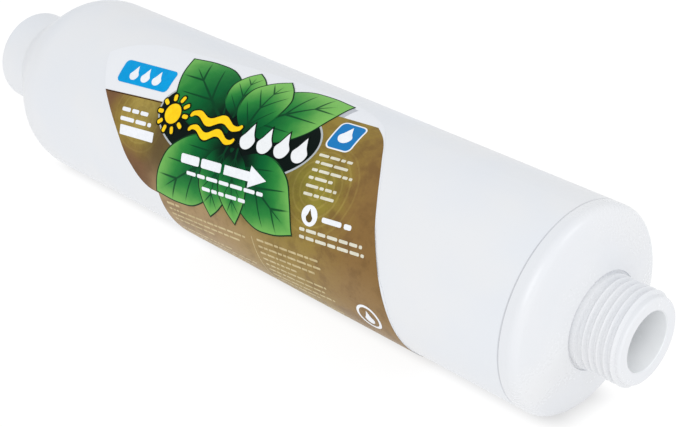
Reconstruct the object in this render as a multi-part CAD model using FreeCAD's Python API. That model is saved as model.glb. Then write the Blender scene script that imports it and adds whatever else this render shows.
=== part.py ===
import FreeCAD, Part
import math
import os

# Inline water filter, lying on its side. Millimetres, +Z up.
# The flow axis is X: water enters the threaded collar at -X and leaves the threaded
# spigot at +X. The origin is on the flow axis, in the middle of the overall length.

V = FreeCAD.Vector
AXIS = V(1, 0, 0)

# Housing
TOTAL_LENGTH = 266.7
INLET_X = -TOTAL_LENGTH / 2
OUTLET_X = TOTAL_LENGTH / 2
BODY_R = 30.25
WALL = 3.0
BORE_R = BODY_R - WALL
SEAM_X = OUTLET_X - 24.5
SEAM_GROOVE = 0.3

# Inlet collar and shoulder
COLLAR_R = 15.85
COLLAR_LENGTH = 13.0
COLLAR_RIM_ROUND = 1.1
SHOULDER_ANGLE = 33.4
SHOULDER_ROUND = 17.7
SHOULDER_WALL = 3.2
WATERWAY_R = 8.5
LEDGE_R = 26.0

# Garden hose thread, 3/4 inch, 11.5 turns to the inch
PITCH = 25.4 / 11.5
MALE_MAJOR_R = 13.35
MALE_MINOR_R = 12.35
FEMALE_MAJOR_R = 13.65
FEMALE_MINOR_R = 12.4
THREAD_SINK = 0.35

# Inlet socket
SOCKET_DEPTH = 13.5
SOCKET_MOUTH_R = 13.8
MOUTH_LENGTH = 1.3
INLET_TURNS = 3.1
WASHER_R = 13.5
WASHER_HOLE_R = 8.0
WASHER_THICK = 3.1

# Outlet end cap and spigot
SKIRT_LENGTH = 5.1
CAP_EDGE_ROUND = 3.0
CAP_FLARE_X = OUTLET_X - 16.9
CAP_FLARE_R = 20.5
CAP_FLARE_ROUND = 30.0
SPIGOT_LENGTH = 14.4
SPIGOT_BASE_R = 13.5
SPIGOT_NECK = 1.5
BASE_GROOVE = 0.5
OUTLET_BORE_R = 8.6
OUTLET_TURNS = 4.95
THREAD_START = 12.58
CAP_WALL = 4.0
TONGUE_OUTER_R = BORE_R - 0.05
TONGUE_INNER_R = 24.6
TONGUE_LENGTH = 12.0

# Filter stack, from the inlet to the outlet
STACK_R = BORE_R - 0.1
STACK_START_X = INLET_X + 41.6
PLATE_THICK = 3.0
PLATE_RIBS = 6
RIB_HEIGHT = 3.0
RIB_THICK = 1.6
HUB_R = 4.5
HOLE_R = 1.9
HOLE_RINGS = [(7.5, 6), (12.5, 12), (17.5, 18), (22.5, 24)]
MESH_THICK = 0.4
MESH_R = 25.6
RING_INNER_R = 24.4
SEDIMENT_THICK = 8.0
DIVIDER_THICK = 3.0
COPPER_ZINC_LENGTH = 30.0
POLISHING_THICK = 6.0
FOAM_THICK = 5.0

# Label: its outline is unrolled, as places along X and along the girth, with the girth
# counted upwards from the side that faces -Y
LABEL_THICK = 0.2
LABEL_REF_ANGLE = 120.0
LABEL_TOP = [(-66.4, 30.4), (-60.6, 35.6), (-37.5, 43.0), (-10.0, 48.4), (3.0, 50.0),
             (27.0, 50.6), (41.0, 46.0)]
LABEL_OUTLET_SIDE = [(41.0, 46.0), (51.8, 34.2), (60.9, 18.1), (67.2, 3.1), (71.2, -14.0),
                     (73.0, -40.0), (69.0, -72.0), (61.0, -100.0)]
LABEL_BACK = [(61.0, -100.0), (-24.0, -100.0)]
LABEL_LOWER_INLET = [(-24.0, -100.0), (-20.0, -65.0), (-25.5, -30.0), (-28.3, -6.2)]
LABEL_UPPER_INLET = [(-28.3, -6.2), (-33.5, -6.0), (-41.2, -0.3), (-48.4, 8.2),
                     (-59.0, 19.4), (-66.4, 30.4)]


def corner_arc(before, corner, after, radius):
    """Ends and middle of the arc that rounds a corner of an (x, r) outline."""
    a, b, c = (V(p[0], p[1], 0) for p in (before, corner, after))
    u = (a - b).normalize()
    w = (c - b).normalize()
    half = u.getAngle(w) / 2
    reach = radius / math.tan(half)
    centre = b + (u + w).normalize() * (radius / math.sin(half))
    middle = centre + (b - centre).normalize() * radius
    return b + u * reach, middle, b + w * reach


def outline(points):
    """Closed wire in the XZ plane from (x, r) or (x, r, rounding) points."""
    edges = []
    ends = []
    count = len(points)
    for i, point in enumerate(points):
        if len(point) == 3:
            first, middle, last = corner_arc(points[i - 1], point, points[(i + 1) % count], point[2])
            arc = Part.Arc(*(V(p.x, 0, p.y) for p in (first, middle, last)))
            edges.append(arc.toShape())
            ends.append((V(first.x, 0, first.y), V(last.x, 0, last.y)))
        else:
            here = V(point[0], 0, point[1])
            ends.append((here, here))
    for i in range(count):
        start = ends[i][1]
        end = ends[(i + 1) % count][0]
        if start.distanceToPoint(end) > 1e-6:
            edges.append(Part.LineSegment(start, end).toShape())
    return Part.Wire(Part.__sortEdges__(edges))


def revolved(points):
    face = Part.Face(outline(points))
    return face.revolve(V(0, 0, 0), AXIS, 360)


def tube(x, length, outer_r, inner_r=0.0):
    solid = Part.makeCylinder(outer_r, length, V(x, 0, 0), AXIS)
    if inner_r:
        solid = solid.cut(Part.makeCylinder(inner_r, length, V(x, 0, 0), AXIS))
    return solid


def thread_ridge(x, turns, root_r, crest_r):
    """Helical ridge from root_r to crest_r; crest_r is the smaller one on a female thread."""
    outward = 1 if crest_r > root_r else -1
    base_r = root_r - outward * THREAD_SINK
    half_base = 0.44 * PITCH
    half_crest = 0.13 * PITCH
    crest_edge_r = crest_r - outward * 0.2
    corners = [(-half_base, base_r), (-half_crest, crest_edge_r)]
    corners += [(half_crest, crest_edge_r), (half_base, base_r)]
    p = [V(x + dx, 0, r) for dx, r in corners]
    crest = Part.Arc(p[1], V(x, 0, crest_r), p[2]).toShape()
    sides = [Part.LineSegment(p[0], p[1]), Part.LineSegment(p[2], p[3]), Part.LineSegment(p[3], p[0])]
    section = Part.Wire(Part.__sortEdges__([crest] + [s.toShape() for s in sides]))
    spine = Part.makeHelix(PITCH, PITCH * turns, base_r)
    spine.Placement = FreeCAD.Placement(V(x, 0, 0), FreeCAD.Rotation(V(0, 1, 0), 90))
    start = spine.Vertexes[0].Point
    turn = math.degrees(math.atan2(-start.y, start.z))
    section.rotate(V(0, 0, 0), AXIS, turn)
    return Part.Wire(spine.Edges).makePipeShell([section], True, True)


def body_shell():
    collar_end = INLET_X + COLLAR_LENGTH
    slope = math.tan(math.radians(SHOULDER_ANGLE))
    shoulder_end = collar_end + (BODY_R - COLLAR_R) / slope
    seat_x = INLET_X + SOCKET_DEPTH
    inner_x = seat_x + SHOULDER_WALL
    wall_shift = SHOULDER_WALL / math.cos(math.radians(SHOULDER_ANGLE))
    inner_r = COLLAR_R + (inner_x - collar_end) * slope - wall_shift
    ledge_x = STACK_START_X
    inner_end = inner_x + (LEDGE_R - inner_r) / slope
    solid = revolved([
        (INLET_X, COLLAR_R, COLLAR_RIM_ROUND),
        (collar_end, COLLAR_R, 3.0),
        (shoulder_end, BODY_R, SHOULDER_ROUND),
        (SEAM_X - SEAM_GROOVE, BODY_R),
        (SEAM_X, BODY_R - SEAM_GROOVE),
        (SEAM_X, BORE_R),
        (ledge_x, BORE_R),
        (ledge_x, LEDGE_R),
        (inner_end, LEDGE_R, 12.0),
        (inner_x, inner_r, 1.5),
        (inner_x, WATERWAY_R),
        (seat_x, WATERWAY_R),
        (seat_x, FEMALE_MAJOR_R),
        (INLET_X + MOUTH_LENGTH, FEMALE_MAJOR_R),
        (INLET_X, SOCKET_MOUTH_R + 0.4),
    ])
    first_turn_x = INLET_X + MOUTH_LENGTH + PITCH / 2
    return solid.fuse(thread_ridge(first_turn_x, INLET_TURNS, FEMALE_MAJOR_R, FEMALE_MINOR_R))


def outlet_end_cap():
    base_x = OUTLET_X - SPIGOT_LENGTH
    thread_x = base_x + SPIGOT_NECK
    tongue_x = SEAM_X - TONGUE_LENGTH
    cap_edge_x = SEAM_X + SKIRT_LENGTH
    solid = revolved([
        (tongue_x, TONGUE_INNER_R, 0.8),
        (tongue_x, TONGUE_OUTER_R, 0.8),
        (SEAM_X, TONGUE_OUTER_R),
        (SEAM_X, BODY_R - SEAM_GROOVE),
        (SEAM_X + SEAM_GROOVE, BODY_R),
        (cap_edge_x, BODY_R, CAP_EDGE_ROUND),
        (CAP_FLARE_X, CAP_FLARE_R, CAP_FLARE_ROUND),
        (base_x - 0.2, SPIGOT_BASE_R + BASE_GROOVE + 0.2),
        (base_x - 0.6, SPIGOT_BASE_R + BASE_GROOVE),
        (base_x - 0.6, SPIGOT_BASE_R),
        (thread_x - 0.5, SPIGOT_BASE_R),
        (thread_x, MALE_MINOR_R),
        (OUTLET_X, MALE_MINOR_R, 0.7),
        (OUTLET_X, OUTLET_BORE_R, 0.5),
        (base_x - CAP_WALL, OUTLET_BORE_R, 1.5),
        (cap_edge_x - CAP_WALL, TONGUE_INNER_R, 4.0),
    ])
    first_turn_x = OUTLET_X - THREAD_START
    return solid.fuse(thread_ridge(first_turn_x, OUTLET_TURNS, MALE_MINOR_R, MALE_MAJOR_R))


def inlet_hose_washer():
    return tube(INLET_X + SOCKET_DEPTH - WASHER_THICK, WASHER_THICK, WASHER_R, WASHER_HOLE_R)


def flow_plate(x, ribs_downstream):
    """Perforated disc with radial ribs and a hub on one side."""
    plate = tube(x, PLATE_THICK, STACK_R)
    rib_x = x + PLATE_THICK if ribs_downstream else x - RIB_HEIGHT
    ribs = [tube(rib_x, RIB_HEIGHT, HUB_R)]
    for i in range(PLATE_RIBS):
        rib = Part.makeBox(RIB_HEIGHT, STACK_R - 4.0, RIB_THICK, V(rib_x, 1.0, -RIB_THICK / 2))
        rib.rotate(V(0, 0, 0), AXIS, 360 / PLATE_RIBS * i)
        ribs.append(rib)
    plate = plate.multiFuse(ribs)
    holes = []
    for ring_r, count in HOLE_RINGS:
        for i in range(count):
            angle = 2 * math.pi * (i + 0.5) / count
            at = V(x - 0.5, ring_r * math.cos(angle), ring_r * math.sin(angle))
            holes.append(Part.makeCylinder(HOLE_R, PLATE_THICK + 1.0, at, AXIS))
    return plate.cut(Part.makeCompound(holes)).removeSplitter()


def skin(radius, sides):
    """Face on a cylinder of this radius, with the unrolled outline's sides as its edges."""
    surface = Part.Cylinder()
    surface.Radius = radius
    edges = []
    for side in sides:
        turned = [(math.radians(LABEL_REF_ANGLE) - girth / BODY_R, x) for x, girth in side]
        places = [FreeCAD.Base.Vector2d(*p) for p in turned]
        if len(places) == 2:
            curve = Part.Geom2d.Line2dSegment(*places)
        else:
            curve = Part.Geom2d.BSplineCurve2d()
            curve.interpolate(places)
        edges.append(curve.toShape(surface))
    wire = Part.Wire(edges)
    face = Part.Face(surface, wire)
    face.validate()
    return face, wire


def wrap_label():
    sides = [LABEL_TOP, LABEL_OUTLET_SIDE, LABEL_BACK, LABEL_LOWER_INLET, LABEL_UPPER_INLET]
    inner, inner_wire = skin(BODY_R, sides)
    outer, outer_wire = skin(BODY_R + LABEL_THICK, sides)
    rims = [Part.makeRuledSurface(a, b) for a, b in zip(inner_wire.Edges, outer_wire.Edges)]
    shell = Part.Shell([inner, outer] + [face for rim in rims for face in rim.Faces])
    shell.sewShape()
    solid = Part.Solid(shell)
    c = math.cos(math.radians(LABEL_REF_ANGLE))
    s = math.sin(math.radians(LABEL_REF_ANGLE))
    to_body = FreeCAD.Matrix(0, 0, 1, 0, -c, -s, 0, 0, s, -c, 0, 0, 0, 0, 0, 1)
    solid.Placement = FreeCAD.Placement(to_body)
    if solid.Volume < 0:
        solid.reverse()
    return solid


def filter_stack():
    """Name and solid of each piece in the tube, from the inlet to the outlet."""
    end_x = SEAM_X - TONGUE_LENGTH
    plate_x = end_x - PLATE_THICK
    pieces = [("inlet_diffuser", flow_plate(STACK_START_X, False))]
    mesh_x = STACK_START_X + PLATE_THICK
    pieces += clamped_mesh("inlet", mesh_x, mesh_x + MESH_THICK)
    pieces += clamped_mesh("outlet", plate_x - MESH_THICK, plate_x - 2 * MESH_THICK)
    pieces.append(("outlet_support_plate", flow_plate(plate_x, True)))
    start_x = mesh_x + 2 * MESH_THICK
    room = plate_x - 2 * MESH_THICK - start_x
    fixed = SEDIMENT_THICK + DIVIDER_THICK + COPPER_ZINC_LENGTH + POLISHING_THICK + FOAM_THICK
    bed = [
        ("sediment_pad", SEDIMENT_THICK),
        ("carbon_bed", room - fixed),
        ("divider_pad", DIVIDER_THICK),
        ("copper_zinc_bed", COPPER_ZINC_LENGTH),
        ("compression_foam", FOAM_THICK),
        ("polishing_pad", POLISHING_THICK),
    ]
    x = start_x
    for name, length in bed:
        pieces.append((name, tube(x, length, STACK_R)))
        x += length
    return pieces


def clamped_mesh(end, mesh_x, ring_x):
    """A mesh disc and the ring that presses its rim against the plate."""
    ring = tube(ring_x, MESH_THICK, STACK_R, RING_INNER_R)
    return [(end + "_mesh", tube(mesh_x, MESH_THICK, MESH_R)), (end + "_mesh_ring", ring)]


def main():
    os.makedirs("parts", exist_ok=True)
    pieces = [
        ("body_shell", body_shell()),
        ("outlet_end_cap", outlet_end_cap()),
        ("wrap_label", wrap_label()),
        ("inlet_hose_washer", inlet_hose_washer()),
    ]
    pieces += filter_stack()
    for name, solid in pieces:
        print(name, len(solid.Solids), round(solid.Volume), solid.isValid(), solid.BoundBox)
        solid.exportStep("parts/" + name + ".step")


main()
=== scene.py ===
import bpy, bmesh, random
from math import atan2, ceil, cos, degrees, pi, radians, sin
from mathutils import Matrix, Vector


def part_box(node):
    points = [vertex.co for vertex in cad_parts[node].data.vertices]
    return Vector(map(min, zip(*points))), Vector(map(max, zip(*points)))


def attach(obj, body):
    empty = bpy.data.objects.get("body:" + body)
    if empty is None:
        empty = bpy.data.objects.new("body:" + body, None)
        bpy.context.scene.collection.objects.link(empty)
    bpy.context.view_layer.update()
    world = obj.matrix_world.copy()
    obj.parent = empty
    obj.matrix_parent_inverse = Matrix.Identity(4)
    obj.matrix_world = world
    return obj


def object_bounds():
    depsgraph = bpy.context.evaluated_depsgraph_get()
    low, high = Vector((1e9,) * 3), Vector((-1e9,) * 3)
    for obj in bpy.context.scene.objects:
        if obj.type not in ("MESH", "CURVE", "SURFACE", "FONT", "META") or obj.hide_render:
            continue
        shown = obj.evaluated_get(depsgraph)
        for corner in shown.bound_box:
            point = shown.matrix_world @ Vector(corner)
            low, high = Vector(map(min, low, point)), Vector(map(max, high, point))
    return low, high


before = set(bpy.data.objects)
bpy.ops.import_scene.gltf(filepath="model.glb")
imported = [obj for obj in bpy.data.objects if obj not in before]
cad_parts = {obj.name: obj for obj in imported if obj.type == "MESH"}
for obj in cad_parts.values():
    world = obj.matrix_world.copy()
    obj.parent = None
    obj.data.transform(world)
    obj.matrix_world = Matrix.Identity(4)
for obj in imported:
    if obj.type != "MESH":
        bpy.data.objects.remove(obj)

cadBox = [list(corner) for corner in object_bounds()]
print("frame loaded:", len(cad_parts), "nodes")

mm = 0.001
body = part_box("body_shell")
tubeRadius = body[1].z
labelRadius = -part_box("wrap_label")[0].y
floorHeight = cadBox[0][2]


class Value:
    # wraps a number socket, so that shader maths reads as Python
    def __init__(self, graph, socket):
        self.graph = graph
        self.socket = socket

    def combine(self, operation, *others, flip=False):
        inputs = [self, *others]
        if flip:
            inputs.reverse()
        return self.graph.math(operation, *inputs)

    def __add__(self, other):
        return self.combine("ADD", other)

    __radd__ = __add__

    def __sub__(self, other):
        return self.combine("SUBTRACT", other)

    def __rsub__(self, other):
        return self.combine("SUBTRACT", other, flip=True)

    def __mul__(self, other):
        return self.combine("MULTIPLY", other)

    __rmul__ = __mul__

    def __truediv__(self, other):
        return self.combine("DIVIDE", other)

    def __rtruediv__(self, other):
        return self.combine("DIVIDE", other, flip=True)

    def __pow__(self, other):
        return self.combine("POWER", other)

    def __neg__(self):
        return self.combine("MULTIPLY", -1)

    def __abs__(self):
        return self.combine("ABSOLUTE")

    def sine(self):
        return self.combine("SINE")

    def fraction(self):
        return self.combine("FRACT")

    def atLeast(self, other):
        return self.combine("MAXIMUM", other)


class Graph:
    # the nodes of one material
    def __init__(self, name, finish):
        self.material = bpy.data.materials.new(name)
        self.material.use_nodes = True
        self.tree = self.material.node_tree
        self.tree.nodes.clear()
        self.output = self.tree.nodes.new("ShaderNodeOutputMaterial")
        self.shader = self.tree.nodes.new("ShaderNodeBsdfPrincipled")
        self.tree.links.new(self.shader.outputs[0], self.output.inputs["Surface"])
        for socket, amount in finish.items():
            self.shader.inputs[socket].default_value = amount

    def plug(self, socket, value):
        if isinstance(value, Value):
            value = value.socket
        if isinstance(value, bpy.types.NodeSocket):
            self.tree.links.new(value, socket)
        else:
            socket.default_value = value

    def node(self, kind, settings=None, inputs=None, output=0):
        made = self.tree.nodes.new("ShaderNode" + kind)
        for name, setting in (settings or {}).items():
            setattr(made, name, setting)
        for name, value in (inputs or {}).items():
            self.plug(made.inputs[name], value)
        return made.outputs[output]

    def math(self, operation, *inputs):
        settings = {"operation": operation}
        return Value(self, self.node("Math", settings, dict(enumerate(inputs))))

    def number(self, kind, settings=None, inputs=None):
        return Value(self, self.node(kind, settings, inputs))

    def place(self):
        return self.node("TexCoord", output="Object")

    def split(self, vector):
        parts = self.tree.nodes.new("ShaderNodeSeparateXYZ")
        self.plug(parts.inputs[0], vector)
        return [Value(self, output) for output in parts.outputs]

    def noise(self, size, detail=3.0, roughness=0.5, distortion=0.0):
        # size is the width of one blob, in metres
        inputs = {"Vector": self.place(), "Scale": 1 / size, "Detail": detail}
        inputs |= {"Roughness": roughness, "Distortion": distortion}
        return self.number("TexNoise", None, inputs)

    def smooth(self, value, low, high):
        inputs = {"Value": value, "From Min": low, "From Max": high}
        return self.number("MapRange", {"interpolation_type": "SMOOTHSTEP"}, inputs)

    def mix(self, amount, first, second):
        made = self.tree.nodes.new("ShaderNodeMix")
        made.data_type = "RGBA"
        self.plug(made.inputs[0], amount)
        self.plug(made.inputs[6], first)
        self.plug(made.inputs[7], second)
        return made.outputs[2]

    def bump(self, height, depth, below=None):
        inputs = {"Height": height, "Distance": depth, "Strength": 1.0}
        if below:
            inputs["Normal"] = below
        return self.node("Bump", None, inputs)

    def feed(self, **inputs):
        for name, value in inputs.items():
            self.plug(self.shader.inputs[name.replace("_", " ")], value)
        return self.material


def paint(red, green, blue, alpha=1.0):
    # a colour as an artist picks it, from 0 to 255, in linear light
    channels = [channel / 255 for channel in (red, green, blue)]
    return (*(c / 12.92 if c < 0.04 else ((c + 0.055) / 1.055) ** 2.4 for c in channels), alpha)


def mouldedPlastic(name, look):
    graph = Graph(name, {"Roughness": look["gloss"], "IOR": 1.48, "Specular IOR Level": 0.42})
    drift = graph.noise(look["driftSize"], 2.0)
    grain = graph.noise(look["grainSize"], 4.0, 0.6)
    tone = graph.mix(graph.smooth(drift, 0.3, 0.7), look["cool"], look["warm"])
    specks = graph.smooth(graph.noise(0.0011, 1.0), 0.80, 0.86)
    tone = graph.mix(specks * 0.25, tone, look["speck"])
    x, y, z = graph.split(graph.place())
    # painted shade: a thin darker line along the seam groove between tube and cap
    seamShade = graph.smooth(abs(x - look["seam"]), *look["seamShadeFade"])
    tone = graph.mix(seamShade * look["seamShadeAmount"], tone, look["seamShadeTone"])
    # painted light: the wall inside the outlet bore is painted lighter than the cap plastic
    if "bore" in look:
        inside = graph.smooth((y * y + z * z) ** 0.5, look["bore"], look["bore"] - 0.0001)
        tone = graph.mix(inside, tone, look["boreLightTone"])
    rough = look["gloss"] + (drift - 0.5) * 0.10 + (grain - 0.5) * 0.06
    flow = graph.bump(drift, look["flowDepth"])
    skin = graph.bump(grain, look["grainDepth"], flow)
    return graph.feed(Base_Color=tone, Roughness=rough, Normal=skin)


housingLook = {
    "gloss": 0.34, "cool": paint(223, 226, 231), "warm": paint(227, 228, 230),
    "speck": paint(196, 196, 198), "driftSize": 0.030, "grainSize": 0.0009,
    "flowDepth": 0.00006, "grainDepth": 0.000006,
    # the seam values draw painted shade, a thin darker band along the groove at the seam
    "seam": body[1].x, "seamShadeFade": (0.00032, 0.00012), "seamShadeAmount": 0.35,
    "seamShadeTone": paint(160, 162, 166),
}
capLook = housingLook | {
    "gloss": 0.27, "cool": paint(223, 225, 229), "warm": paint(227, 228, 230),
    # the bore values paint the inside of the outlet bore lighter, as painted light
    "bore": 0.00875, "boreLightTone": paint(242, 244, 246),
    "flowDepth": 0.00002, "grainDepth": 0.000002,
}
plateLook = housingLook | {
    "gloss": 0.45, "cool": paint(214, 217, 220), "warm": paint(222, 222, 220),
}


def unrolled(graph):
    # places on the tube in millimetres: along X, and round the girth from the -Y side upwards
    x, y, z = graph.split(graph.place())
    angle = graph.math("ARCTAN2", z, -y)
    return x / mm, angle * (tubeRadius / mm)


printGloss = {"IOR": 1.45, "Specular IOR Level": 0.07}
inkRoughness = 0.33


def labelVinyl(name):
    graph = Graph(name, printGloss)
    grain = graph.noise(0.0005, 3.0)
    cloud = graph.noise(0.02)
    tone = graph.mix(cloud, paint(227, 229, 234), paint(231, 233, 236))
    rough = 0.34 + (cloud - 0.5) * 0.1
    return graph.feed(Base_Color=tone, Roughness=rough, Normal=graph.bump(grain, 0.000003))


barkLook = {
    "rust": paint(118, 86, 58), "olive": paint(146, 124, 56), "brown": paint(134, 103, 60),
    "tan": paint(164, 138, 100), "gold": paint(176, 156, 84), "moss": paint(140, 138, 50),
    "shade": paint(80, 56, 34), "leafShade": paint(66, 72, 36), "rippleGap": 2.6,
    "ripples": [(-39.0, 16.0, 14.0, "gold"), (37.5, 19.0, 18.0, "moss")],
    "leafMiddle": (-1.0, 13.0), "leafReach": (40, 26), "leafAmount": 0.5,
}


def printedBark(name, look):
    # marbled brown and olive print with faint water rings
    graph = Graph(name, printGloss)
    x, girth = unrolled(graph)
    wander = graph.noise(0.018, 4.0, 0.55)
    blotch = graph.noise(0.006, 5.0, 0.6)
    fleck = graph.noise(0.0012, 3.0, 0.7)
    glowX, glowGirth = look["ripples"][0][:2]
    fromGlow = ((x - glowX) ** 2 + (girth - glowGirth) ** 2) ** 0.5 + (wander - 0.5) * 14
    inward = graph.smooth(fromGlow, 15, 6).atLeast(graph.smooth(x, -28, -14))
    tone = graph.mix(inward, look["rust"], look["olive"])
    outward = graph.smooth(x + (blotch - 0.5) * 24, 30, 58)
    tone = graph.mix(outward, tone, look["brown"])
    lower = graph.smooth(girth + (wander - 0.5) * 14, 9, -6) * graph.smooth(x, -36, -24)
    tone = graph.mix(lower * (1 - graph.smooth(x, -5, 30) * 0.65), tone, look["tan"])
    for ringX, ringGirth, reach, tint in look["ripples"]:
        away = ((x - ringX) ** 2 + (girth - ringGirth) ** 2) ** 0.5
        waves = (away * (2 * pi / look["rippleGap"]) + (wander - 0.5) * 5).sine()
        fade = graph.smooth(away, reach, reach * 0.55)
        glow = graph.smooth(away + (blotch - 0.5) * 6, reach * 0.8, reach * 0.2)
        tone = graph.mix(glow * 0.55, tone, look[tint])
        tone = graph.mix(graph.smooth(waves, 0.5, 1.0) * fade * 0.35, tone, look["gold"])
    leafX, leafGirth = look["leafMiddle"]
    fromLeaves = ((x - leafX) ** 2 + (girth - leafGirth) ** 2) ** 0.5
    underLeaves = graph.smooth(fromLeaves, *look["leafReach"]) * graph.smooth(girth, -4, 6)
    tone = graph.mix(underLeaves * look["leafAmount"], tone, look["leafShade"])
    tone = graph.mix(graph.smooth(blotch, 0.44, 0.66) * 0.26, tone, look["shade"])
    tone = graph.mix(graph.smooth(fleck, 0.55, 0.75) * 0.18, tone, look["shade"])
    rough = 0.33 + (fleck - 0.5) * 0.12
    return graph.feed(Base_Color=tone, Roughness=rough)


def ink(name, tone, second=None, gloss=inkRoughness):
    # one printed colour, with the slight mottle of the print
    graph = Graph(name, printGloss)
    mottle = graph.noise(0.0016, 4.0, 0.65)
    cloud = graph.noise(0.012, 2.0)
    second = second or tuple(channel * 0.86 for channel in tone[:3]) + (1.0,)
    shade = graph.mix(graph.smooth(mottle * 0.6 + cloud * 0.4, 0.35, 0.65), tone, second)
    return graph.feed(Base_Color=shade, Roughness=gloss + (mottle - 0.5) * 0.12)


def bordered(name, inside, border):
    # a printed shape with an outline: the margin attribute is 1 at its edge
    graph = Graph(name, printGloss)
    margin = Value(graph, graph.node("Attribute", {"attribute_name": "margin"}, output="Fac"))
    mottle = graph.noise(0.0016, 4.0, 0.65)
    fill = graph.mix(mottle, inside, tuple(c * 0.85 for c in inside[:3]) + (1.0,))
    tone = graph.mix(graph.smooth(margin, 0.15, 0.3), fill, border)
    return graph.feed(Base_Color=tone, Roughness=inkRoughness + (mottle - 0.5) * 0.12)


leafLook = {
    "deep": paint(0, 24, 16), "mid": paint(0, 92, 44), "fresh": paint(42, 132, 58),
    "light": paint(122, 186, 92), "vein": paint(0, 62, 32), "edge": paint(6, 48, 26),
    "pairs": 3.8, "slope": 0.40, "lift": 0.0, "spread": 0.20,
}


def leafPrint(name, look):
    # UV runs along the midrib in U, and across in V, with the midrib at one half
    graph = Graph(name, printGloss)
    u, v = graph.split(graph.node("UVMap", {"uv_map": "leaf"}))[:2]
    away = abs(v - 0.5) * 2
    share = away / ((u * (1 - u) * 4).atLeast(0.03) ** 0.6)
    mottle = graph.noise(0.004, 3.0, 0.55)
    climb = u + away * look["spread"] + (mottle - 0.5) * 0.14 + look["lift"]
    tone = graph.mix(graph.smooth(climb, 0.14, 0.48), look["deep"], look["mid"])
    tone = graph.mix(graph.smooth(climb, 0.42, 0.78), tone, look["fresh"])
    tone = graph.mix(graph.smooth(climb, 0.66, 1.06), tone, look["light"])
    ridge = 1 - graph.smooth(away / (1.04 - u).atLeast(0.06), 0.03, 0.09)
    comb = abs(((u - away * look["slope"]) * look["pairs"]).fraction() - 0.5)
    taper = (1 - share).atLeast(0.0)
    thin = 1 - graph.smooth(comb / (taper + 0.1), 0.03, 0.10)
    twigs = thin * (1 - graph.smooth(share, 0.62, 0.80))
    veins = ridge.atLeast(twigs) * (1 - graph.smooth(u, 0.76, 0.86))
    tone = graph.mix(veins * 0.9, tone, look["vein"])
    margin = Value(graph, graph.node("Attribute", {"attribute_name": "margin"}, output="Fac"))
    outline = graph.smooth(margin, 0.25, 0.5) * graph.smooth(u, 0.25, 0.45)
    tone = graph.mix(outline, tone, look["edge"])
    return graph.feed(Base_Color=tone, Roughness=0.36 + (mottle - 0.5) * 0.1)


def rubberSkin(name):
    graph = Graph(name, {"IOR": 1.5})
    dust = graph.noise(0.003, 4.0, 0.6)
    grain = graph.noise(0.0004, 3.0)
    tone = graph.mix(graph.smooth(dust, 0.45, 0.75), paint(24, 24, 25), paint(58, 57, 56))
    rough = 0.62 + dust * 0.2
    return graph.feed(Base_Color=tone, Roughness=rough, Normal=graph.bump(grain, 0.00002))


def felt(name):
    graph = Graph(name, {"Roughness": 0.95, "Sheen Weight": 0.2})
    fibre = graph.noise(0.0006, 6.0, 0.75, distortion=1.5)
    tuft = graph.noise(0.003, 3.0)
    tone = graph.mix(fibre, paint(206, 205, 198), paint(240, 240, 235))
    return graph.feed(Base_Color=tone, Normal=graph.bump(fibre + tuft * 0.6, 0.00025))


def foam(name):
    graph = Graph(name, {"Roughness": 0.9})
    cells = {"Vector": graph.place(), "Scale": 900.0}
    pores = graph.number("TexVoronoi", {"feature": "DISTANCE_TO_EDGE"}, cells)
    tone = graph.mix(graph.smooth(pores, 0.02, 0.25), paint(88, 92, 96), paint(20, 22, 24))
    return graph.feed(Base_Color=tone, Normal=graph.bump(-pores, 0.0004))


def granules(name, dark, light, size, metal=0.0):
    graph = Graph(name, {"Roughness": 0.5})
    spot = {"Vector": graph.place(), "Scale": 1 / size}
    grain = graph.number("TexVoronoi", None, spot)
    tint = graph.node("TexVoronoi", None, spot, "Color")
    shade = graph.split(tint)[0]
    tone = graph.mix(shade, dark, light)
    bump = graph.bump(1 - grain, size * 0.6)
    rough = 0.35 + shade * 0.4
    sheen = metal * (0.6 + shade * 0.4)
    return graph.feed(Base_Color=tone, Roughness=rough, Metallic=sheen, Normal=bump)


def wovenMesh(name, thread=0.0004):
    graph = Graph(name, {"Roughness": 0.5})
    y, z = graph.split(graph.place())[1:]
    warp = abs((y / thread).fraction() - 0.5) * 2
    weft = abs((z / thread).fraction() - 0.5) * 2
    over = warp.atLeast(weft)
    tone = graph.mix(graph.smooth(over, 0.3, 0.7), paint(96, 100, 100), paint(230, 232, 226))
    return graph.feed(Base_Color=tone, Normal=graph.bump(over, 0.0001))


finishes = {
    "body_shell": mouldedPlastic("housingWhite", housingLook),
    "outlet_end_cap": mouldedPlastic("endCapWhite", capLook),
    "wrap_label": labelVinyl("labelVinyl"),
    "inlet_hose_washer": rubberSkin("washerRubber"),
    "inlet_diffuser": mouldedPlastic("innerPlastic", plateLook),
    "carbon_bed": granules("carbonGranules", paint(10, 10, 11), paint(52, 52, 54), 0.0012),
    "copper_zinc_bed": granules("copperZinc", paint(116, 78, 34), paint(214, 168, 92), 0.0009, 0.9),
    "sediment_pad": felt("feltPad"),
    "compression_foam": foam("openCellFoam"),
    "inlet_mesh": wovenMesh("nylonMesh"),
}
sharedFinishes = {
    "outlet_support_plate": "inlet_diffuser", "inlet_mesh_ring": "inlet_diffuser",
    "outlet_mesh_ring": "inlet_diffuser", "polishing_pad": "sediment_pad",
    "divider_pad": "sediment_pad", "outlet_mesh": "inlet_mesh",
}
for node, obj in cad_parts.items():
    material = finishes[sharedFinishes.get(node, node)]
    for slot in obj.material_slots:
        slot.material = material
print("finishes on the CAD nodes")


artwork = {
    "tilt": 7.3, "slice": 1.5, "inkThick": 0.02, "firstLift": 0.006, "layerStep": 1.1,
    "badge": (-1.3, 26.2), "badgeSize": (64.1, 30.3), "badgeShift": (0.3, -1.1),
    "shadow": (1.6, -1.1),
}


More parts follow.
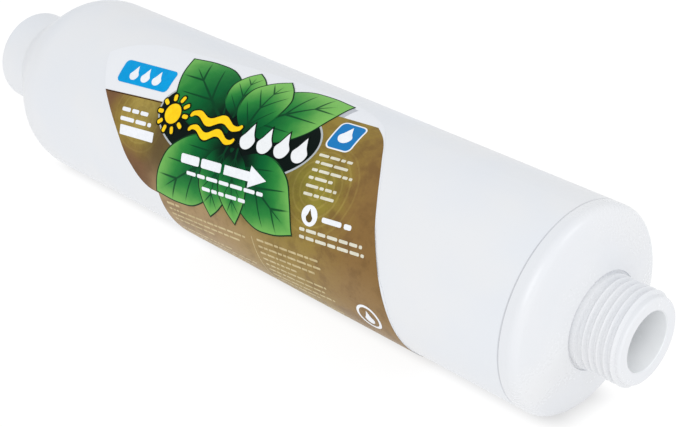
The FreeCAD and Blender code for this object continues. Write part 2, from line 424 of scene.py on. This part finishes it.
def artPlace(along, up):
    # from the artwork's own level lines, which climb towards the outlet, to the tube
    turn = radians(artwork["tilt"])
    x = artwork["badge"][0] + along * cos(turn) - up * sin(turn)
    return x, artwork["badge"][1] + along * sin(turn) + up * cos(turn)


def outlineFace(points, corners=(), detail=10):
    # flat bmesh bounded by a smooth closed curve through the points, sharp at the corners
    curve = bpy.data.curves.new("outline", "CURVE")
    curve.dimensions = "2D"
    curve.fill_mode = "BOTH"
    curve.resolution_u = detail
    line = curve.splines.new("BEZIER")
    line.bezier_points.add(len(points) - 1)
    for number, (knot, place) in enumerate(zip(line.bezier_points, points)):
        knot.co = (place[0], place[1], 0)
        kind = "VECTOR" if number in corners else "AUTO"
        knot.handle_left_type = kind
        knot.handle_right_type = kind
    line.use_cyclic_u = True
    holder = bpy.data.objects.new("outline", curve)
    bpy.context.collection.objects.link(holder)
    graph = bpy.context.evaluated_depsgraph_get()
    mesh = bpy.data.meshes.new_from_object(holder.evaluated_get(graph))
    flat = bmesh.new()
    flat.from_mesh(mesh)
    bpy.data.objects.remove(holder)
    bpy.data.meshes.remove(mesh)
    bmesh.ops.remove_doubles(flat, verts=flat.verts, dist=1e-4)
    bmesh.ops.dissolve_limit(flat, angle_limit=0.01, verts=flat.verts, edges=flat.edges)
    return flat


def roundedBar(width, height, rounding, steps=3):
    flat = bmesh.new()
    bmesh.ops.create_grid(flat, x_segments=1, y_segments=1, size=0.5)
    bmesh.ops.scale(flat, vec=(width, height, 1), verts=flat.verts)
    if rounding:
        bmesh.ops.bevel(flat, geom=flat.verts, offset=rounding, segments=steps, affect="VERTICES",
                        profile=0.5, material=-1)
    return flat


def disc(width, height, segments=72):
    flat = bmesh.new()
    bmesh.ops.create_circle(flat, cap_ends=True, segments=segments, radius=0.5)
    bmesh.ops.scale(flat, vec=(width, height, 1), verts=flat.verts)
    return flat


def moved(flat, x, y, turn=0.0):
    spin = Matrix.Rotation(radians(turn), 3, "Z")
    bmesh.ops.rotate(flat, cent=(0, 0, 0), matrix=spin, verts=flat.verts)
    bmesh.ops.translate(flat, vec=(x, y, 0), verts=flat.verts)
    return flat


def joined(parts):
    # several flat shapes as one
    whole = bmesh.new()
    for part in parts:
        mesh = bpy.data.meshes.new("part")
        part.to_mesh(mesh)
        part.free()
        whole.from_mesh(mesh)
        bpy.data.meshes.remove(mesh)
    return whole


def printed(name, flat, layer, material, level=True, rim=0.0, leafSize=None):
    # lays a flat shape, in millimetres, round the tube as a thin closed film of ink
    for face in flat.faces:
        if face.normal.z < 0:
            face.normal_flip()
    margin = flat.verts.layers.float.new("margin")
    if rim:
        bmesh.ops.inset_region(flat, faces=flat.faces, thickness=rim, use_boundary=True,
                               use_even_offset=True)
        for edge in flat.edges:
            if edge.is_boundary:
                for vert in edge.verts:
                    vert[margin] = 1.0
    if leafSize:
        places = flat.loops.layers.uv.new("leaf")
        for face in flat.faces:
            for loop in face.loops:
                at = loop.vert.co
                loop[places].uv = (at.x / leafSize[0], 0.5 + at.y / leafSize[1])
        moved(flat, *leafSize[2:])
    if level:
        for vert in flat.verts:
            vert.co.x, vert.co.y = artPlace(vert.co.x, vert.co.y)
    step = artwork["slice"]
    low = min(vert.co.y for vert in flat.verts)
    high = max(vert.co.y for vert in flat.verts)
    cut = ceil(low / step) * step
    while cut < high:
        everything = flat.verts[:] + flat.edges[:] + flat.faces[:]
        bmesh.ops.bisect_plane(flat, geom=everything, dist=1e-5, plane_co=(0, cut, 0),
                               plane_no=(0, 1, 0))
        cut += step
    bmesh.ops.triangulate(flat, faces=flat.faces)
    raised = bmesh.ops.extrude_face_region(flat, geom=flat.faces[:], use_keep_orig=True)
    top = [part for part in raised["geom"] if isinstance(part, bmesh.types.BMVert)]
    bmesh.ops.translate(flat, vec=(0, 0, artwork["inkThick"]), verts=top)
    bmesh.ops.recalc_face_normals(flat, faces=flat.faces)
    pitch = artwork["inkThick"] * artwork["layerStep"]
    lift = labelRadius / mm + artwork["firstLift"] + (layer - 1) * pitch
    for vert in flat.verts:
        angle = vert.co.y / (tubeRadius / mm)
        radius = (lift + vert.co.z) * mm
        vert.co = (vert.co.x * mm, -radius * cos(angle), radius * sin(angle))
    mesh = bpy.data.meshes.new(name)
    flat.to_mesh(mesh)
    flat.free()
    mesh.materials.append(material)
    piece = bpy.data.objects.new(name, mesh)
    bpy.context.collection.objects.link(piece)
    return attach(piece, "root")


# brown ground of the label, with a thin white margin left round it
groundOutline = {
    "points": [(-58.6, 18.9), (-34.5, 22.4), (0.0, 27.6), (26.0, 42.0), (40.7, 44.2), (46.0, 40.6),
               (51.4, 34.1), (56.9, 25.7), (60.9, 17.9), (67.1, 3.1), (71.0, -14.0), (72.4, -40.0),
               (68.5, -72.0), (60.4, -99.5), (-23.5, -99.5), (-19.4, -65.0), (-25.0, -30.0),
               (-27.7, -6.0), (-33.3, -5.4), (-40.8, 0.2), (-47.9, 8.5), (-53.2, 13.8)],
    "corners": (0, 1, 2, 3, 4, 13, 14, 17),
    "topLine": [(-58.5, 18.9), (-34.5, 22.4), (-30.0, 23.0), (-30.0, 22.6), (-34.5, 22.0),
                (-57.9, 18.6)],
}
ground = outlineFace(groundOutline["points"], groundOutline["corners"])
bark = printedBark("barkPrint", barkLook)
printed("label_ground", ground, 3, bark, level=False)
lineInk = ink("lineInk", paint(66, 40, 16))
topLine = outlineFace(groundOutline["topLine"], range(6))
printed("label_ground_line", topLine, 4, lineInk, level=False)

leafInks = {
    "shaded": leafPrint("leafPrintShaded", leafLook | {"lift": -0.03, "spread": 0.06}),
    "plain": leafPrint("leafPrintPlain", leafLook),
    "sunlit": leafPrint("leafPrintSunlit", leafLook | {"lift": 0.15}),
    "low": leafPrint("leafPrintLow", leafLook | {"lift": -0.04, "spread": 0.36}),
}
# where each leaf starts and points to on the artwork, its widest place, width, layer and ink
leaves = {
    "leaf_top_left": ((-1.5, -3.8), (-32.1, 18.8), 0.58, 21.0, 6, "shaded"),
    "leaf_top_right": ((3.3, -1.0), (31.0, 19.1), 0.56, 21.0, 7, "sunlit"),
    "leaf_top_middle": ((-2.2, 1.1), (-6.4, 21.2), 0.58, 12.0, 8, "sunlit"),
    "leaf_top_centre": ((4.3, -3.0), (5.4, 21.6), 0.58, 16.0, 9, "sunlit"),
    "leaf_low_left": ((3.5, -7.6), (-31.1, -28.1), 0.57, 20.5, 6, "low"),
    "leaf_low_right": ((4.8, -9.9), (31.5, -27.4), 0.56, 21.0, 7, "low"),
    "leaf_low_centre": ((0.8, -6.5), (-5.2, -30.6), 0.57, 13.0, 8, "plain"),
    "leaf_low_small": ((4.8, -7.0), (6.4, -30.3), 0.57, 12.0, 9, "plain"),
}


def leafOutline(length, width, widest):
    half = width / 2
    points = [(0, 0), (length * widest * 0.42, half * 0.80), (length * widest, half),
              (length * (widest + 1) / 2, half * 0.66), (length, 0),
              (length * (widest + 1) / 2, -half * 0.66), (length * widest, -half),
              (length * widest * 0.42, -half * 0.80)]
    return outlineFace(points, (0, 4))


def leafAim(base, tip):
    span = Vector(tip) - Vector(base)
    return span.length, degrees(atan2(span.y, span.x))


# a soft grey shade of the badge and leaves, printed on the white of the label
shadeInk = ink("shadeInk", paint(176, 180, 188), paint(190, 193, 199), 0.45)
shiftX, shiftY = artwork["shadow"]
ovalX, ovalY = artwork["badgeShift"]
oval = disc(*artwork["badgeSize"])
printed("label_shade_badge", moved(oval, ovalX + shiftX, ovalY + shiftY), 1, shadeInk)
for layer, name in enumerate(("leaf_top_left", "leaf_top_right")):
    base, tip, widest, width = leaves[name][:4]
    length, turn = leafAim(base, tip)
    shade = moved(leafOutline(length, width, widest), base[0] + shiftX, base[1] + shiftY, turn)
    printed("label_shade_" + name, shade, 2, shadeInk)

badgeInk = bordered("badgeInk", paint(2, 16, 12), paint(176, 182, 184))
printed("label_badge", moved(disc(*artwork["badgeSize"]), ovalX, ovalY), 5, badgeInk, rim=0.8)
for name, (base, tip, widest, width, layer, shading) in leaves.items():
    length, turn = leafAim(base, tip)
    flat = leafOutline(length, width, widest)
    printed("label_" + name, flat, layer, leafInks[shading], rim=0.7,
            leafSize=(length, width, *base, turn))
print("label ground, badge and leaves")


def drop(width, height):
    # a water drop with its point up
    points = [(0, height * 0.5), (width * 0.27, height * 0.10), (width * 0.5, -height * 0.2),
              (0, -height * 0.5), (-width * 0.5, -height * 0.2), (-width * 0.27, height * 0.10)]
    return outlineFace(points, (0,))


def ring(size, line):
    flat = disc(size, size)
    bmesh.ops.inset_region(flat, faces=flat.faces, thickness=line, use_boundary=True)
    inner = max(flat.faces, key=lambda face: len(face.verts))
    bmesh.ops.delete(flat, geom=[inner], context="FACES")
    return flat


def wave(length, height, thick, crests):
    # a wavy ribbon with blunt ends
    steps = crests * 6
    upper, lower = [], []
    for step in range(steps + 1):
        along = step / steps
        swing = height * sin(2 * pi * crests * along) * 0.5
        width = thick * (0.45 + 0.55 * sin(pi * along)) * 0.5
        upper.append(((along - 0.5) * length, swing + width))
        lower.append(((along - 0.5) * length, swing - width))
    return outlineFace(upper + lower[::-1])


def sun(size, rays, rayLength, rayWidth, grow=0.0):
    # a disc with a ring of short rays; grow widens every piece for an outline
    clear = 0.9
    parts = [disc(size + grow * 2, size + grow * 2, 48)]
    for number in range(rays):
        turn = 360 / rays * number
        away = size / 2 + clear + rayLength / 2
        ray = roundedBar(rayLength + grow * 2, rayWidth + grow * 2, rayWidth * 0.45 + grow, 4)
        place = (away * cos(radians(turn)), away * sin(radians(turn)))
        parts.append(moved(ray, *place, turn))
    return parts


whiteInk = ink("whiteInk", paint(240, 242, 246), paint(230, 233, 238))
paleInk = ink("paleInk", paint(224, 222, 206), paint(208, 204, 184))
creamInk = ink("creamInk", paint(206, 190, 148), paint(186, 168, 124))
blueInk = ink("blueInk", paint(0, 158, 222), paint(0, 148, 212))
yellowInk = ink("yellowInk", paint(255, 216, 30), paint(246, 200, 20))
outlineInk = ink("outlineInk", paint(8, 14, 8), paint(14, 22, 10))
dropInk = bordered("dropInk", paint(242, 244, 246), paint(10, 22, 18))

titleLook = {
    "sun": (-25.4, -2.2), "sunSize": (6.4, 10, 2.3, 1.3), "rim": 0.5,
    "waves": [(-7.6, -1.0, 21.0, 2.0, 2.7, 2), (-7.4, -5.4, 19.0, 2.0, 2.4, 2)],
    "drops": (7.0, 6.7, 4), "dropSize": (6.3, 9.6), "dropUp": -2.6,
}
rim = titleLook["rim"]
rays = sun(*titleLook["sunSize"], rim)
core = rays.pop(0)
printed("label_sun_edge", moved(core, *titleLook["sun"]), 10, outlineInk)
rayEdges = joined([moved(ray, *titleLook["sun"]) for ray in rays])
printed("label_sun_ray_edges", rayEdges, 10, outlineInk)
sunParts = [moved(part, *titleLook["sun"]) for part in sun(*titleLook["sunSize"])]
printed("label_sun", joined(sunParts), 11, yellowInk)
for number, (along, up, length, height, thick, crests) in enumerate(titleLook["waves"]):
    edge = wave(length + rim * 2, height, thick + rim * 2, crests)
    printed(f"label_wave_edge_{number + 1}", moved(edge, along, up), 10 + number * 2, outlineInk)
    ribbon = wave(length, height, thick, crests)
    printed(f"label_wave_{number + 1}", moved(ribbon, along, up), 11 + number * 2, yellowInk)
first, gap, count = titleLook["drops"]
for number in range(count):
    shape = moved(drop(*titleLook["dropSize"]), first + number * gap, titleLook["dropUp"])
    printed(f"label_drop_{number + 1}", shape, 11, dropInk, rim=rim)

arrowLook = {
    "dashes": [(-13.2, 8.0), (-4.0, 8.6)], "thick": 2.8, "round": 0.6, "up": -14.2,
    "arrow": [(1.6, 1.4), (12.0, 1.4), (12.0, 3.2), (19.0, 0), (12.0, -3.2), (12.0, -1.4),
              (1.6, -1.4)],
}
dashes = [moved(roundedBar(width, arrowLook["thick"], arrowLook["round"]), along, arrowLook["up"])
          for along, width in arrowLook["dashes"]]
arrow = moved(outlineFace(arrowLook["arrow"], range(7)), 0, arrowLook["up"])
printed("label_flow_arrow", joined([*dashes, arrow]), 10, whiteInk)
print("label title")


# plain bars stand in the place of printed words: left edge, height of the first line, step
# down, height of a bar, widths, ink and layer
writing = random.Random(41)
wordLook = {"short": 1.6, "long": 5.5, "stub": 1.4, "gap": 0.6, "round": 0.35, "middle": 2.2}
wordBlocks = {
    "label_date_lines": (-47.5, -4.5, 2.95, 1.25, [12.0, 14.4], whiteInk, 4),
    "label_motto_lines": (None, -18.2, 3.4, 1.1, [33.0, 19.0], whiteInk, 10),
    "label_address_lines": (33.6, -2.6, 2.34, 0.85, [12.0, 11.7, 14.6, 8.8, 11.3, 11.3],
                            paleInk, 4),
    "label_care_heading": (42.4, -20.1, 2.0, 1.5, [11.0], whiteInk, 4),
    "label_care_lines": (34.3, -24.3, 2.2, 0.95, [24.0, 25.0], paleInk, 4),
    "label_left_heading": (-27.2, -31.1, 2.0, 0.9, [6.3], creamInk, 4),
    "label_left_lines": (-27.2, -33.3, 2.2, 0.72,
                         [37.0, 33.5, 20.0, 0, 25.5, 36.0, 34.0, 30.0, 0, 36.0, 22.0, 35.0, 33.0,
                          36.0, 12.0, 0, 34.0, 36.0, 35.0, 28.0], creamInk, 4),
    "label_right_lines": (15.3, -32.5, 2.26, 0.72,
                          [26.0, 26.7, 23.7, 15.0, 26.7, 25.0, 28.0, 20.0, 0, 27.0, 28.0, 24.0,
                           27.0, 9.0, 0, 26.0, 28.0, 25.0, 28.0], creamInk, 4),
}
for name, (left, up, pitch, high, widths, wordInk, layer) in wordBlocks.items():
    bars = []
    for number, width in enumerate(widths):
        at = wordLook["middle"] - width / 2 if left is None else left
        end = at + width
        while end - at > high:
            word = min(end - at, high * writing.uniform(wordLook["short"], wordLook["long"]))
            if end - at - word < high * wordLook["stub"]:
                word = end - at
            bar = roundedBar(word, high, high * wordLook["round"], 2)
            bars.append(moved(bar, at + word / 2, up - number * pitch))
            at += word + high * wordLook["gap"]
    printed(name, joined(bars), layer, wordInk)

tagLook = {
    "place": (-43.4, 7.5), "size": (22.5, 8.0), "round": 1.6, "drops": (-5.0, 5.0, 3),
    "dropSize": (3.6, 5.2),
}
tag = moved(roundedBar(*tagLook["size"], tagLook["round"], 6), *tagLook["place"])
printed("label_blue_tag", tag, 3, blueInk)
first, gap, count = tagLook["drops"]
tagX, tagUp = tagLook["place"]
tagDrops = [moved(drop(*tagLook["dropSize"]), tagX + first + number * gap, tagUp)
            for number in range(count)]
printed("label_tag_drops", joined(tagDrops), 4, whiteInk)

marks = {
    "panel": (-39.1, -10.9, 15.8, 3.1), "badge": (37.8, 5.4, 9.2, 10.8),
    "care": (37.6, -20.0, 6.0), "ring": (57.3, -46.5, 9.2, 0.9),
    "divider": (13.1, -53.0, 0.3, 42.0),
    "badgeDrop": (4.6, 6.4), "careDrop": (2.4, 3.8), "ringDrop": (3.6, 5.2),
}
along, up, width, height = marks["panel"]
printed("label_write_on_panel", moved(roundedBar(width, height, 0.3), along, up), 4, whiteInk)
along, up, width, height = marks["badge"]
badgeBlue = bordered("badgeBlue", paint(30, 124, 192), paint(236, 240, 244))
smallBadge = moved(roundedBar(width, height, 2.0, 5), along, up)
printed("label_small_badge", smallBadge, 4, badgeBlue, rim=0.6)
printed("label_small_badge_drop", moved(drop(*marks["badgeDrop"]), along, up + 0.6), 5, whiteInk)
along, up, width = marks["care"]
printed("label_care_mark", moved(disc(width, width), along, up), 4, whiteInk)
brownInk = ink("brownInk", paint(96, 78, 34))
printed("label_care_mark_drop", moved(drop(*marks["careDrop"]), along, up), 5, brownInk)
along, up, width, line = marks["ring"]
ringParts = [moved(ring(width, line), along, up), moved(drop(*marks["ringDrop"]), along, up)]
printed("label_ring_mark", joined(ringParts), 4, whiteInk)
along, up, width, height = marks["divider"]
printed("label_divider", moved(roundedBar(width, height, 0), along, up), 4, creamInk)
print("label marks and lines")


# place, aim, size, power and colour of each soft light
studio = {
    "world": 0.845, "sky": (0.972, 0.985, 1.0, 1.0),
    "paper": (paint(92, 92, 92), paint(88, 88, 88)), "paperGlow": 0.93,
    # the contact values paint a soft shadow on the floor under the body
    "contactShadow": (0.60, 0.60, 0.61, 1.0), "contactShadowMiddle": 0.004,
    "contactShadowSides": (0.0165, 0.0060), "contactShadowEnds": (0.117, 0.104),
    "lights": {
        "frontFill": ((0.75, -0.95, 0.75), (0.03, 0.0, 0.0), 0.9, 5.0, (1.0, 0.99, 0.975)),
        "outletKey": ((0.75, 0.30, 0.72), (0.12, 0.0, 0.0), 0.45, 1.2, (1.0, 0.985, 0.96)),
    },
}
paperGloss = {"Roughness": 0.9, "Specular IOR Level": 0.0}
paper = Graph("studioFloor", paperGloss | {"Emission Strength": studio["paperGlow"]})
paperX, paperY = paper.split(paper.place())[:2]
# painted contact shadow: the floor's glow is darkened in a soft band under the body
contactShadow = (paper.smooth(abs(paperY), *studio["contactShadowSides"])
           * paper.smooth(abs(paperX - studio["contactShadowMiddle"]), *studio["contactShadowEnds"]))
paper.feed(Base_Color=paper.mix(paper.noise(0.4), *studio["paper"]),
           Emission_Color=paper.mix(contactShadow, (1, 1, 1, 1), studio["contactShadow"]))
sheet = bmesh.new()
bmesh.ops.create_grid(sheet, x_segments=1, y_segments=1, size=4.0)
bmesh.ops.translate(sheet, vec=(0, 0, floorHeight), verts=sheet.verts)
floorMesh = bpy.data.meshes.new("floor")
sheet.to_mesh(floorMesh)
sheet.free()
floorMesh.materials.append(paper.material)
floor = bpy.data.objects.new("floor", floorMesh)
bpy.context.collection.objects.link(floor)

for name, (place, aim, size, power, tint) in studio["lights"].items():
    lamp = bpy.data.lights.new(name, "AREA")
    lamp.shape = "DISK"
    lamp.size = size
    lamp.energy = power
    lamp.color = tint
    lampObject = bpy.data.objects.new(name, lamp)
    lampObject.location = place
    lampObject.rotation_euler = (Vector(aim) - Vector(place)).to_track_quat("-Z", "Y").to_euler()
    bpy.context.collection.objects.link(lampObject)

world = bpy.data.worlds.new("studio")
world.use_nodes = True
sky = world.node_tree.nodes["Background"]
sky.inputs["Strength"].default_value = studio["world"]
sky.inputs["Color"].default_value = studio["sky"]
scene = bpy.context.scene
scene.world = world
scene.view_settings.view_transform = "Standard"

viewer = {"place": (0.31145, -0.2874, 0.2158), "turn": 45.23, "down": 28.49, "lens": 81.61}
camera = bpy.data.cameras.new("camera")
camera.lens = viewer["lens"]
camera.sensor_width = 36
camera.clip_start = 0.01
cameraObject = bpy.data.objects.new("camera", camera)
cameraObject.location = viewer["place"]
cameraObject.rotation_euler = (radians(90 - viewer["down"]), 0, radians(viewer["turn"]))
bpy.context.collection.objects.link(cameraObject)
scene.camera = cameraObject
print("floor, lights and camera")
